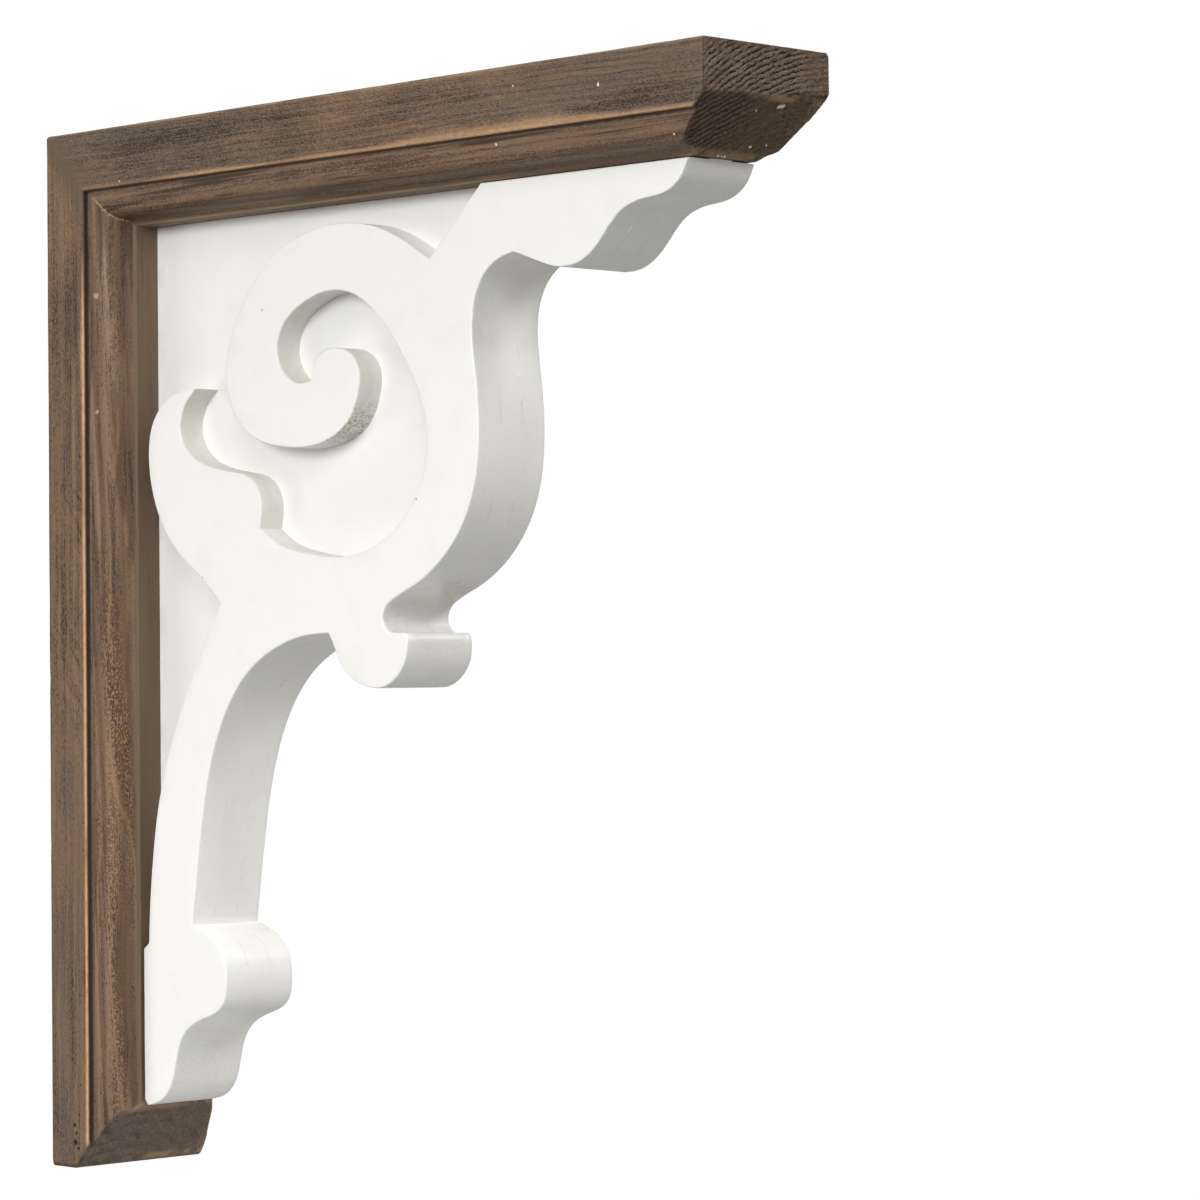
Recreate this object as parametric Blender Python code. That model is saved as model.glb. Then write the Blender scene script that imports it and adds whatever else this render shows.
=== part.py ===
"""A wooden corbel bracket: a mitred frame of stained moulding that holds a scroll sawn from three white boards.

X runs out from the wall, Y across the bracket and Z up. The origin is on the wall, halfway up the leg's back.
"""
import math

import bmesh
import bpy
import numpy as np

MM = 0.001

# Driving dimensions, in millimetres.
HEIGHT = 305.0            # back of the bracket, from the leg's foot to the top of the arm
REACH = 271.0             # from the wall to the arm's end
FRAME_WIDTH = 48.0        # moulding, across the bracket
FRAME_DEPTH = 28.0        # moulding, from its flat back to its front face
BAND_DEPTH = 17.5         # plain band on each side of the moulding
QUIRK_STEP = 2.0          # how far the section steps in behind the band
QUIRK_SLOPE = 0.5         # the step's own depth along the section
FACE_WIDTH = 24.0         # flat front face of the moulding
SHOULDER_DEPTH = 22.2     # where the side starts to turn over, from the back
SHOULDER_INSET = 3.2      # how far the shoulder lies inside the band
HOLLOW_DEPTH = 25.8       # where the round turns into the hollow, from the back
HOLLOW_INSET = 7.2        # how far that point lies inside the band
ROUND_BOW = 0.16          # swell of the round, as a share of its chord
HOLLOW_BOW = 0.10         # dip of the hollow, as a share of its chord
ARRIS_ROUND = 1.2         # worn round of the moulding's long back edges
END_ROUND = 1.8           # sanded round around the two free ends
LEG_SQUARE = 11.9         # part of the leg's end that is cut square
LEG_CUT_RUN = 18.8        # length of the slanting cut under the leg
ARM_SQUARE = 12.8         # part of the arm's end that is cut square
ARM_CUT_RUN = 15.0        # length of the slanting cut under the arm
BOARD_THICK = 8.2         # each of the three boards of the scroll
JOINT_GAP = 0.3           # glue line between touching pieces
ARM_TOE_SETBACK = 1.6     # the scroll's upper toe stops this far short of the arm's slanting cut
LEG_TOE_RISE = 0.2        # the scroll's lower toe stops this far above the leg's slanting cut
BACK_CLEARANCE = 1.7      # air between the leg's face and the carved boards' lower foot
FOOT_HEIGHT = 44.0        # straight back of the lower foot
EDGE_SOFTENING = 0.5      # round of the carved boards' painted rims
CURVE_TOLERANCE = 0.1     # largest distance between a curve and its chords
PROFILE_STEPS = 4         # facets across the moulding's round and its hollow
ROUND_STEPS = 3           # facets across a worn arris or a sanded end
RIM_STEPS = 2             # facets across a painted rim

# The sawing pattern is drawn from the frame's inner corner: along the arm, then down the leg.
PATTERN_REACH = 226.4
PATTERN_DROP = 258.0

STAIN_COLOUR = (0.150, 0.102, 0.068, 1.0)
STAIN_ROUGHNESS = 0.62
PAINT_COLOUR = (0.880, 0.868, 0.830, 1.0)
PAINT_ROUGHNESS = 0.38


def flow(knots):
    """A smooth curve through the knots, as a function of 0 to len(knots) - 1."""
    points = np.array(knots, float)
    spans = np.linalg.norm(np.diff(points, axis=0), axis=1)
    count = len(points)
    rows = np.zeros((count, count))
    right = np.zeros((count, 2))
    rows[0, 0] = rows[-1, -1] = 1.0
    for i in range(1, count - 1):
        before, after = spans[i - 1], spans[i]
        rows[i, i - 1:i + 2] = before, 2 * (before + after), after
        right[i] = 6 * ((points[i + 1] - points[i]) / after - (points[i] - points[i - 1]) / before)
    bends = np.linalg.solve(rows, right)

    def at(t):
        i = min(int(t), count - 2)
        span = spans[i]
        b = (t - i) * span
        a = span - b
        return ((bends[i] * a ** 3 + bends[i + 1] * b ** 3) / (6 * span)
                + (points[i] / span - bends[i] * span / 6) * a
                + (points[i + 1] / span - bends[i + 1] * span / 6) * b)

    return at


def chords(at, start, end, tolerance):
    """The points of a curve after its start, close enough that no chord leaves it by the tolerance."""
    a, b, middle = at(start), at(end), at((start + end) / 2)
    if end - start <= 0.5 and np.linalg.norm(middle - (a + b) / 2) < tolerance:
        return [b]
    half = (start + end) / 2
    return chords(at, start, half, tolerance) + chords(at, half, end, tolerance)


def outline(stretches):
    """A closed outline from smooth stretches that meet at corners. A stretch of two knots is straight."""
    loop = []
    for i, knots in enumerate(stretches):
        following = stretches[(i + 1) % len(stretches)][0]
        knots = list(knots) + [following]
        loop.append(np.array(knots[0], float))
        if len(knots) > 2:
            at = flow(knots)
            for t in range(len(knots) - 1):
                loop += chords(at, t, t + 1, CURVE_TOLERANCE)
            loop.pop()
    return loop


# The free edge of all three boards, from the upper toe round to the lower toe.
FREE_EDGE = [
    # under the upper foot: a lip, a hollow and a round belly
    [(226.4, 0), (224.2, 4.2), (218.4, 8.2), (209, 9.5), (201, 12.3), (193.2, 19.7), (186.4, 23.9), (179, 24.8),
     (170, 22.5)],
    # the hollow behind the belly and the long S down to the hook's ledge
    [(161.2, 19.5), (153.2, 21.8), (147.2, 27.8), (144.7, 39), (146.2, 53), (147, 68), (145.2, 81), (139.2, 93.4),
     (130.4, 102.2), (121, 107.8), (112, 111.6), (108.4, 114.4), (107.7, 117), (108.8, 119.5)],
    [(110.9, 120.8)],
    # the round hook
    [(116.4, 120.8), (117.8, 122), (117.9, 124.6), (116.4, 129.2), (112.2, 133.8), (106, 136), (98.2, 134.8),
     (91.6, 131.1), (87.8, 125.4)],
    # the arch and the inside of the leg
    [(85, 120.7), (76, 121.1), (62, 124.6), (48.4, 132.6), (38.2, 145.4), (31.6, 162), (27.6, 181)],
    # the lower foot: a shoulder, a belly, a hollow and a toe
    [(24, 204.6), (28.4, 205.9), (34.8, 209.2), (38.8, 214.8), (39.5, 220.6), (37.6, 227), (30.8, 230.8),
     (23.2, 233.8), (18.6, 238.2), (15.8, 246), (12.9, 253), (8.4, 256.6)],
]
LOWER_TOE = (3.0, 258.0)

# The carved boards' other edges, from the lower foot's back up the leg and round the scroll to the arm.
LEG_AND_LOBE = [
    [(4.0, 210.4), (4.6, 200), (6.8, 181), (10.8, 163), (17.6, 146), (26.8, 129)],
    [(37.8, 111.4), (27.2, 102.6), (16.2, 94.2), (10.2, 86), (6.8, 77.6), (5.4, 68), (7.2, 58.6), (12.2, 52.8),
     (19.2, 49.7)],
]
RECESS = [
    # the lobe's inner edge, down to the cusp
    [(27.6, 49.1), (21.8, 54.6), (20.3, 61), (24.4, 67.8), (33, 71.8), (43, 73.7), (51, 75.7), (55.4, 80.2),
     (56.4, 85.6)],
    # the hollow's big round, up under the arm and down into the eye of the spiral
    [(55.6, 90.4), (61.6, 94.2), (74.4, 97.7), (89.5, 99.3), (105, 96.4), (118, 87.7), (125.3, 75.4),
     (125.6, 61.4), (119, 48), (109.2, 35.6), (97.6, 26.9), (86.4, 24.8), (74.6, 27.7), (66, 33.7),
     (63.8, 40.4), (67.4, 47.2), (73, 49.9)],
    # back out of the eye, round the boss and along the band's outer edge
    [(78.3, 49.3), (78.9, 45.8), (82, 42.2), (88, 40.8), (94.4, 42.3), (98.6, 47), (98.3, 54), (94, 61.6),
     (86, 66.3), (76, 68.1), (64, 67.5), (53, 64.3), (45.4, 58.2), (41.4, 49.6), (41.6, 40), (46, 30),
     (54, 19.4), (65, 11.4), (78, 7.3), (92, 6.2), (106, 8.3), (118.4, 13.5)],
    # the notch and the stem's slanting edge
    [(127.7, 19.0)],
    [(148.6, 0.0)],
]


def placed(loop, reach, drop):
    """The pattern's points as X and Z in millimetres, stretched from its drawn size to the frame's."""
    corner_x = FRAME_DEPTH + JOINT_GAP
    corner_z = HEIGHT / 2 - FRAME_DEPTH - JOINT_GAP
    return [(corner_x + p[0] * reach / PATTERN_REACH, corner_z - p[1] * drop / PATTERN_DROP) for p in loop]


def sawn_board(name, loop, inner_y, outer_y, softening, material):
    """A board sawn to an outline and laid flat across Y, with the rim of its outer side softened."""
    bm = bmesh.new()
    inner = bm.faces.new([bm.verts.new((x * MM, inner_y * MM, z * MM)) for x, z in loop])
    grown = bmesh.ops.extrude_face_region(bm, geom=[inner], use_keep_orig=True)["geom"]
    outer = [v for v in grown if isinstance(v, bmesh.types.BMVert)]
    bmesh.ops.translate(bm, vec=(0, (outer_y - inner_y) * MM, 0), verts=outer)
    if softening:
        rim = [e for e in grown if isinstance(e, bmesh.types.BMEdge)]
        bmesh.ops.bevel(bm, geom=rim, offset=softening * MM, segments=RIM_STEPS, profile=0.5,
                        affect="EDGES", clamp_overlap=True)
    return add_object(name, bm, material)


def add_object(name, bm, material):
    """An object of triangles that face outwards, smooth but for its arrises."""
    mesh = bpy.data.meshes.new(name)
    bmesh.ops.recalc_face_normals(bm, faces=bm.faces)
    if bm.calc_volume(signed=True) < 0:
        bmesh.ops.reverse_faces(bm, faces=bm.faces)
    bmesh.ops.triangulate(bm, faces=bm.faces)
    bm.to_mesh(mesh)
    bm.free()
    mesh.materials.append(material)
    part = bpy.data.objects.new(name, mesh)
    bpy.context.scene.collection.objects.link(part)
    mesh.shade_smooth()
    mesh.set_sharp_from_angle(angle=math.radians(30))
    return part


def arc(centre, start, end, radius, steps):
    """Points round a centre between two angles in degrees."""
    angles = [math.radians(start + (end - start) * i / steps) for i in range(steps + 1)]
    return [(centre[0] + radius * math.cos(a), centre[1] + radius * math.sin(a)) for a in angles]


def bowed(a, b, bow):
    """Points from a to b along a shallow arc that bows out by a share of its chord."""
    (ax, ay), (bx, by) = a, b
    points = []
    for i in range(1, PROFILE_STEPS + 1):
        t = i / PROFILE_STEPS
        lift = 4 * bow * t * (1 - t)
        points.append((ax + (bx - ax) * t - (by - ay) * lift, ay + (by - ay) * t + (bx - ax) * lift))
    return points


def half_section():
    """The moulding's half section as depth from its back and half width, from back to front."""
    side = FRAME_WIDTH / 2
    quirk = (BAND_DEPTH + QUIRK_SLOPE, side - QUIRK_STEP)
    shoulder = (SHOULDER_DEPTH, side - SHOULDER_INSET)
    hollow = (HOLLOW_DEPTH, side - HOLLOW_INSET)
    front = (FRAME_DEPTH, FACE_WIDTH / 2)
    points = arc((ARRIS_ROUND, side - ARRIS_ROUND), 180, 90, ARRIS_ROUND, ROUND_STEPS)
    points += [(LEG_SQUARE, side), (ARM_SQUARE, side), (BAND_DEPTH, side), quirk, shoulder]
    points += bowed(shoulder, hollow, ROUND_BOW)
    points += bowed(hollow, front, -HOLLOW_BOW)
    return sorted(points)


def moulding(name, length_at, mitre_at, place, material):
    """A length of moulding. Its free end and its mitre are given for each depth of the section."""
    half = half_section()
    ring = half + [(depth, -width) for depth, width in reversed(half)]
    count = len(ring)
    normals = []
    for i in range(count):
        (ax, ay), (bx, by) = ring[i - 1], ring[(i + 1) % count]
        size = math.hypot(bx - ax, by - ay)
        normals.append(((by - ay) / size, -(bx - ax) / size))
    rings = [[(p[0], p[1], mitre_at(p[0])) for p in ring]]
    for i in range(ROUND_STEPS + 1):
        turn = math.radians(90 * i / ROUND_STEPS)
        inset = END_ROUND * (1 - math.cos(turn))
        back = END_ROUND * (1 - math.sin(turn))
        rings.append([(p[0] + n[0] * inset, p[1] + n[1] * inset, length_at(p[0] + n[0] * inset) - back)
                      for p, n in zip(ring, normals)])
    bm = bmesh.new()
    rows = [[bm.verts.new([c * MM for c in place(*p)]) for p in row] for row in rings]
    for near, far in zip(rows, rows[1:]):
        for i in range(count):
            j = (i + 1) % count
            bm.faces.new((near[i], near[j], far[j], far[i]))
    for row in (rows[0], rows[-1]):
        for i in range(len(half) - 1):
            bm.faces.new((row[i], row[i + 1], row[count - 2 - i], row[count - 1 - i]))
    return add_object(name, bm, material)


def principled(name, colour, roughness):
    material = bpy.data.materials.new(name)
    material.use_nodes = True
    shader = material.node_tree.nodes["Principled BSDF"]
    shader.inputs["Base Color"].default_value = colour
    shader.inputs["Roughness"].default_value = roughness
    shader.inputs["Metallic"].default_value = 0.0
    return material


def end_cut(full, square, run):
    """Where a free end lies at each depth: square near the back, then cut back along a slant."""
    slope = run / (FRAME_DEPTH - square)
    return lambda depth: full - max(0.0, depth - square) * slope


def build():
    for old in list(bpy.data.objects):
        bpy.data.objects.remove(old, do_unlink=True)
    stain = principled("brown_stain", STAIN_COLOUR, STAIN_ROUGHNESS)
    paint = principled("white_paint", PAINT_COLOUR, PAINT_ROUGHNESS)

    half_gap = JOINT_GAP / 2 * math.sqrt(2)
    moulding("leg_moulding", end_cut(HEIGHT, LEG_SQUARE, LEG_CUT_RUN), lambda depth: depth + half_gap,
             lambda depth, width, along: (depth, width, HEIGHT / 2 - along), stain)
    moulding("arm_moulding", end_cut(REACH, ARM_SQUARE, ARM_CUT_RUN), lambda depth: depth + half_gap,
             lambda depth, width, along: (along, width, HEIGHT / 2 - depth), stain)

    reach = REACH - ARM_CUT_RUN - ARM_TOE_SETBACK - FRAME_DEPTH - JOINT_GAP
    drop = HEIGHT - LEG_CUT_RUN - LEG_TOE_RISE - FRAME_DEPTH - JOINT_GAP
    foot_back = BACK_CLEARANCE * PATTERN_REACH / reach
    foot_top = PATTERN_DROP - (FOOT_HEIGHT + BACK_CLEARANCE) * PATTERN_DROP / drop
    carved_foot = [[LOWER_TOE], [(foot_back, PATTERN_DROP - BACK_CLEARANCE)], [(foot_back, foot_top)]]
    panel_back = [[LOWER_TOE], [(0.0, PATTERN_DROP)], [(0.0, 0.0)]]
    carved = placed(outline(FREE_EDGE + carved_foot + LEG_AND_LOBE + RECESS), reach, drop)
    panel = placed(outline(FREE_EDGE + panel_back), reach, drop)
    half = BOARD_THICK / 2
    inner, outer = half + JOINT_GAP, half + JOINT_GAP + BOARD_THICK
    sawn_board("centre_panel", panel, -half, half, 0.0, paint)
    sawn_board("scroll_left", carved, -inner, -outer, EDGE_SOFTENING, paint)
    sawn_board("scroll_right", carved, inner, outer, EDGE_SOFTENING, paint)


build()
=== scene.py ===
"""The looks of a wooden corbel bracket: a mitred frame of moulding and a white scroll of three boards."""

import math

import bmesh
import bpy
import numpy as np
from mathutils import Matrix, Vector, noise
from mathutils.geometry import delaunay_2d_cdt


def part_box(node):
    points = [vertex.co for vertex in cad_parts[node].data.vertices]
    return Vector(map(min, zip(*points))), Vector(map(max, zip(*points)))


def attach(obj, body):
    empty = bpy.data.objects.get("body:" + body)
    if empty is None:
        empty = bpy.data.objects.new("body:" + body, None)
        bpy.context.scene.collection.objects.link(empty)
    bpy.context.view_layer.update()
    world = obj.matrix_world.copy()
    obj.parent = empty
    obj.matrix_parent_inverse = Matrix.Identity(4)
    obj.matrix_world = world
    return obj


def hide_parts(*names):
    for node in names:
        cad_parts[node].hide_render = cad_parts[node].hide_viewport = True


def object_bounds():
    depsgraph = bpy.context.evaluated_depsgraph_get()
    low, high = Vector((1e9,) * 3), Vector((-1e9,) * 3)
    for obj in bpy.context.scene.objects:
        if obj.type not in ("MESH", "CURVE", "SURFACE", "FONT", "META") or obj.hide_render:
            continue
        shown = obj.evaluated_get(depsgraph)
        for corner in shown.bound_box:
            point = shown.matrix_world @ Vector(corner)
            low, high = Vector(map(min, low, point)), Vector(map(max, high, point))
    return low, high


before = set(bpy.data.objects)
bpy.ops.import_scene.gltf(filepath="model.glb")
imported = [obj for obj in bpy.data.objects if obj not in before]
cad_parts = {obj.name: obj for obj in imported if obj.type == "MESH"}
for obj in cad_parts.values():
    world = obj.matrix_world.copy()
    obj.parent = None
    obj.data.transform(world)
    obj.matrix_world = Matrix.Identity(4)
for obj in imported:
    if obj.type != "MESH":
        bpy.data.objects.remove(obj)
cad_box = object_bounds()
MM = 0.001

# The view. A long lens looks at the bracket's left side from in front of it, level with its middle, as for a
# catalogue picture.
LENS = 126.19
EYE = (1.0015, -0.7854, -0.0055)
TILT, ROLL, HEADING = 90.8735, 0.4563, 45.2815

eye = bpy.data.cameras.new("eye")
eye.lens = LENS
eye.sensor_width = 36.0
camera = bpy.data.objects.new("eye", eye)
camera.location = EYE
camera.rotation_euler = [math.radians(a) for a in (TILT, ROLL, HEADING)]
bpy.context.scene.collection.objects.link(camera)
bpy.context.scene.camera = camera
bpy.context.scene.view_settings.view_transform = "Standard"

# The studio. A round pale floor lies below the bracket and throws light back up at it. Round soft lamps hang
# over it, in front of its left side, on its far and wall sides and off its end. All around is white.
FLOOR_DROP = 0.30
FLOOR_PLACE = (0.175, -0.045)
FLOOR_RADIUS = 0.45
FLOOR_SIDES = 96
FLOOR_COLOUR = (0.64, 0.64, 0.63, 1)
SURROUND = 0.08
LAMP_SIZE = 1.0
LAMP_DISTANCE = 2.2
LAMPS = (("front_lamp", -76, 15, 32.7), ("overhead_lamp", -3, 70, 42.9), ("far_side_lamp", 38, 40, 16.9),
         ("wall_side_lamp", -139, -10, 7.4), ("shoulder_lamp", -45, 31, 13.7), ("end_lamp", 0, 0, 5.1),
         ("far_fill_lamp", 112, 0, 20.0))


def put_node(tree, kind, inputs=None, **settings):
    """A node of that kind with its settings, each input set to a value or linked to another output."""
    made = tree.nodes.new(kind)
    for name, value in settings.items():
        setattr(made, name, value)
    for key, value in (inputs or {}).items():
        if isinstance(value, bpy.types.NodeSocket):
            tree.links.new(value, made.inputs[key])
        else:
            made.inputs[key].default_value = value
    return made


for lamp_name, azimuth, elevation, watts in LAMPS:
    lamp = bpy.data.lights.new(lamp_name, "AREA")
    lamp.shape = "DISK"
    lamp.size = LAMP_SIZE
    lamp.energy = watts
    round_angle, up_angle = math.radians(azimuth), math.radians(elevation)
    towards = Vector((math.cos(round_angle) * math.cos(up_angle), math.sin(round_angle) * math.cos(up_angle),
                      math.sin(up_angle)))
    holder = bpy.data.objects.new(lamp_name, lamp)
    holder.location = (cad_box[0] + cad_box[1]) / 2 + towards * LAMP_DISTANCE
    holder.rotation_euler = towards.to_track_quat("Z", "Y").to_euler()
    holder.visible_camera = False
    bpy.context.scene.collection.objects.link(holder)

surround = bpy.data.worlds.new("surround")
surround.use_nodes = True
bpy.context.scene.world = surround
sky = surround.node_tree
sky.nodes.clear()
rays = put_node(sky, "ShaderNodeLightPath")
strength = put_node(sky, "ShaderNodeMapRange",
                    {"Value": rays.outputs["Is Camera Ray"], "To Min": SURROUND, "To Max": 1.0})
glow = put_node(sky, "ShaderNodeBackground", {"Color": (1, 1, 1, 1), "Strength": strength.outputs["Result"]})
put_node(sky, "ShaderNodeOutputWorld", {"Surface": glow.outputs["Background"]})

floor_mesh = bpy.data.meshes.new("floor")
drop = cad_box[0].z - FLOOR_DROP
round_floor = [2 * math.pi * i / FLOOR_SIDES for i in range(FLOOR_SIDES)]
floor_edge = [(FLOOR_PLACE[0] + FLOOR_RADIUS * math.cos(a), FLOOR_PLACE[1] + FLOOR_RADIUS * math.sin(a),
               drop)
              for a in round_floor]
floor_mesh.from_pydata(floor_edge, [], [range(FLOOR_SIDES)])
floor = bpy.data.objects.new("floor", floor_mesh)
bpy.context.scene.collection.objects.link(floor)
pale = bpy.data.materials.new("pale floor")
pale.use_nodes = True
pale.node_tree.nodes["Principled BSDF"].inputs["Base Color"].default_value = FLOOR_COLOUR
pale.node_tree.nodes["Principled BSDF"].inputs["Roughness"].default_value = 0.7
floor_mesh.materials.append(pale)

# The stained moulding. One length runs up the wall and one along the shelf: softwood with a band, a quirk, a
# round and a hollow on both sides of a flat face, mitred, stained brown and rubbed back on its arrises, with
# painted shade in the hollow and painted highlights on its round and its face's arrises. Its free ends are
# cut on a slant and sanded, and the growth rings stand out on the arm's.
SECTION_ROWS = 100
FACE_COLUMNS = 170
RINGS_ALONG = 105
SANDED_ROWS = 6
SANDED_NEAR = ((0, 22.9), (1, 23.3), (12.5, 23.2), (13.7, 22.0), (17.8, 21.3), (21, 20.4), (23.6, 18.8),
               (26.1, 15.2),
               (28, 10.5))    # mm from the back, and from the middle, of a free end's sanded outline
SANDED_FAR = ((0, 22.2), (1, 23.0), (10.5, 23.1), (14.1, 22.2), (17.8, 20.7), (21.5, 18.6), (25.2, 16.8),
              (28, 11.5))
SANDED_ENDS = 0.25 * MM       # how far sanding draws a free end in from the back and from the face
CORNER_ROUND = 2.2 * MM       # of the frame's outer corner
SECTION_STEP = 0.2 * MM       # how closely the section is followed before it is sanded
SECTION_SANDING = 3           # passes that take its corners off
MITRE_HAIR = 0.01 * MM        # what shows of the glue line at the mitre
CORNER_TURN = 24              # degrees: a smaller turn between two chords is part of a curve
BAND_DEPTH = 17.5             # mm from the back to the quirk
SHOULDER_DEPTH = 19.0         # mm from the back to where the round begins
FACE_DEPTH = 27.4             # mm from the back to the worn flat face
FACE_EDGE = 12.0              # mm from the middle of the face to its arris
SLANT_DEPTH = 13.4            # mm from the back to the slanted part of a free end
KINK_ROUND = 1.4 * MM         # how softly a free end turns from its square part to its slanted one
TAPER_RINGS = (10.0, 6.0)     # rings from the end between which the far side draws in, and by what share
TAPER_SHARE = 0.85
SHARP_ANGLE = 40              # degrees between faces that are shaded as an edge


def points_of(name):
    """The corners of a node of the frame, each of them once."""
    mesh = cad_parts[name].data
    points = np.zeros(len(mesh.vertices) * 3)
    mesh.vertices.foreach_get("co", points)
    return np.unique(points.reshape(-1, 3).round(7), axis=0)


def even_run(points, spacing):
    """Evenly spaced points along a smooth curve through a run of points, both ends included."""
    points = np.array(points, float)
    ahead = np.diff(points, axis=0)
    spans = np.linalg.norm(ahead, axis=1)
    ahead /= spans[:, None]
    headings = np.empty(points.shape)
    headings[1:-1] = ahead[:-1] * spans[1:, None] + ahead[1:] * spans[:-1, None]
    headings[0] = 2 * ahead[0] - ahead[min(1, len(ahead) - 1)] if len(points) > 2 else ahead[0]
    headings[-1] = 2 * ahead[-1] - ahead[-min(2, len(ahead))] if len(points) > 2 else ahead[-1]
    headings /= np.linalg.norm(headings, axis=1)[:, None]
    reach = np.minimum(np.append(spans, spans[-2:].min()), np.append(spans[:2].min(), spans))
    headings *= reach[:, None]
    at = np.concatenate([[0], np.cumsum(spans)])
    wanted = np.linspace(0, at[-1], max(2, int(round(at[-1] / spacing)) + 1))
    i = np.clip(np.searchsorted(at, wanted, side="right") - 1, 0, len(spans) - 1)
    t = ((wanted - at[i]) / spans[i])[:, None]
    return (points[i] * (1 + 2 * t) * (1 - t) ** 2 + headings[i] * t * (1 - t) ** 2
            + points[i + 1] * t ** 2 * (3 - 2 * t) - headings[i + 1] * t ** 2 * (1 - t))


def turns_of(points):
    """How far a closed outline turns at each of its points, in degrees."""
    ahead = np.roll(points, -1, axis=0) - points
    heading = np.degrees(np.arctan2(ahead[:, 1], ahead[:, 0]))
    return (heading - np.roll(heading, 1) + 180) % 360 - 180


def worn_outline(points, spacing, closed=True):
    """An outline's points again, evenly spaced, on smooth curves between its real corners."""
    turn = np.abs(turns_of(np.array(points)))
    corner = [i for i in range(len(points)) if turn[i] > CORNER_TURN]
    if not closed:
        corner = sorted({0, len(points) - 1} | set(corner))
    runs = []
    for start, stop in zip(corner, corner[1:] + ([corner[0] + len(points)] if closed else [])):
        run = [points[i % len(points)] for i in range(start, stop + 1)]
        runs.append(even_run(run, spacing)[:-1])
    if not closed:
        runs.append(np.array([points[-1]]))
    return np.concatenate(runs)


mitre_ring = points_of("leg_moulding")
mitre_ring = mitre_ring[(mitre_ring[:, 2] > 0) & (mitre_ring[:, 1] > 0)]
section_points = sorted((x, y) for x, y, z in mitre_ring)
half_section = worn_outline(section_points, SECTION_STEP, closed=False)
for _ in range(SECTION_SANDING):
    middle = (half_section[:-2] + half_section[2:]) / 2
    half_section[1:-1] = half_section[1:-1] * 0.5 + middle * 0.5
half_section = np.minimum(half_section, np.max(section_points, axis=0))
section_mesh = bpy.data.meshes.new("half_section")
section_mesh.from_pydata([(x, y, 0) for x, y in half_section],
                         [(i, i + 1) for i in range(len(half_section) - 1)], [])

low, high = half_section[0][0], half_section[-1][0]
sanded_depth = low + SANDED_ENDS + (half_section[:, 0] - low) * (1 - 2 * SANDED_ENDS / (high - low))
near_side, far_side = [np.minimum(np.interp(half_section[:, 0] / MM, *zip(*outline)) * MM,
                                  half_section[:, 1])
                       for outline in (SANDED_NEAR, SANDED_FAR)]
sanded = section_mesh.attributes.new("sanded", "FLOAT_VECTOR", "POINT")
sanded.data.foreach_set("vector", np.stack([sanded_depth, near_side, far_side], 1).ravel())


class Sums:
    """Writes arithmetic on fields or shader values as nodes of one tree."""

    def __init__(self, tree):
        self.tree = tree

    def __call__(self, operation, *values, clamp=False):
        made = put_node(self.tree, "ShaderNodeMath", operation=operation, use_clamp=clamp)
        for socket, value in zip(made.inputs, values):
            if isinstance(value, bpy.types.NodeSocket):
                self.tree.links.new(value, socket)
            else:
                socket.default_value = value
        return made.outputs[0]

    def line(self, value, slope, base, clamp=False):
        """The value times a slope, and a base added."""
        return self("MULTIPLY_ADD", value, slope, base, clamp=clamp)

    def minus(self, value, less, clamp=False):
        return self("SUBTRACT", value, less, clamp=clamp)

    def smooth(self, value, low, high):
        """0 where the value is at low or beyond it, 1 at high, and eased between them."""
        rising = not isinstance(low, float) or not isinstance(high, float) or low < high
        ends = (low, high, 0.0, 1.0) if rising else (high, low, 1.0, 0.0)
        made = put_node(self.tree, "ShaderNodeMapRange", interpolation_type="SMOOTHSTEP", inputs={
            "Value": value, "From Min": ends[0], "From Max": ends[1], "To Min": ends[2], "To Max": ends[3]})
        return made.outputs["Result"]

    def between(self, value, low, high, ease):
        """1 where the value lies from low to high, eased off over that much inside both ends."""
        return self("MULTIPLY", self.smooth(value, low, low + ease), self.smooth(value, high, high - ease))

    def product(self, *values):
        result = values[0]
        for value in values[1:]:
            result = self("MULTIPLY", result, value)
        return result

    def largest(self, *values):
        result = values[0]
        for value in values[1:]:
            result = self("MAXIMUM", result, value)
        return result

    def blend(self, share, first, second):
        """The first colour turned into the second by that share."""
        made = put_node(self.tree, "ShaderNodeMix", {0: share, 6: first, 7: second}, data_type="RGBA")
        return made.outputs[2]

    def over(self, colour, *layers):
        """The colour with each (share, shade) laid over it in turn."""
        for share, shade in layers:
            colour = self.blend(share, colour, shade)
        return colour

    def vector(self, x, y, z):
        return put_node(self.tree, "ShaderNodeCombineXYZ", {"X": x, "Y": y, "Z": z}).outputs[0]

    def vectors(self, operation, *values, **inputs):
        """A vector reckoned from others, or from one of them and a named input."""
        made = put_node(self.tree, "ShaderNodeVectorMath", {**dict(enumerate(values)), **inputs},
                        operation=operation)
        return made.outputs[0]

    def parts(self, vector):
        return put_node(self.tree, "ShaderNodeSeparateXYZ", {"Vector": vector}).outputs

    def stretched(self, vector, x, y, z):
        """A vector whose parts are each multiplied by their own share."""
        return self.vectors("MULTIPLY", vector, (x, y, z))

    def noise(self, vector, seed, scales=(1.0, 1.0, 1.0), detail=2.0, output="Fac"):
        """Noise from 0 to 1, with so many lumps to a unit of each part of the vector."""
        made = put_node(self.tree, "ShaderNodeTexNoise", noise_dimensions="4D", inputs={
            "Vector": self.stretched(vector, *scales), "W": seed, "Scale": 1.0, "Detail": detail})
        return made.outputs[output if output in made.outputs else 0]

    def apart(self, vector, place):
        """How far the vector is from a place."""
        return put_node(self.tree, "ShaderNodeVectorMath", {0: vector, 1: place},
                        operation="DISTANCE").outputs["Value"]


def tree_input(tree, name, kind, default=None):
    socket = tree.interface.new_socket(name, in_out="INPUT", socket_type=kind)
    if default is not None:
        socket.default_value = default
    return socket


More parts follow.
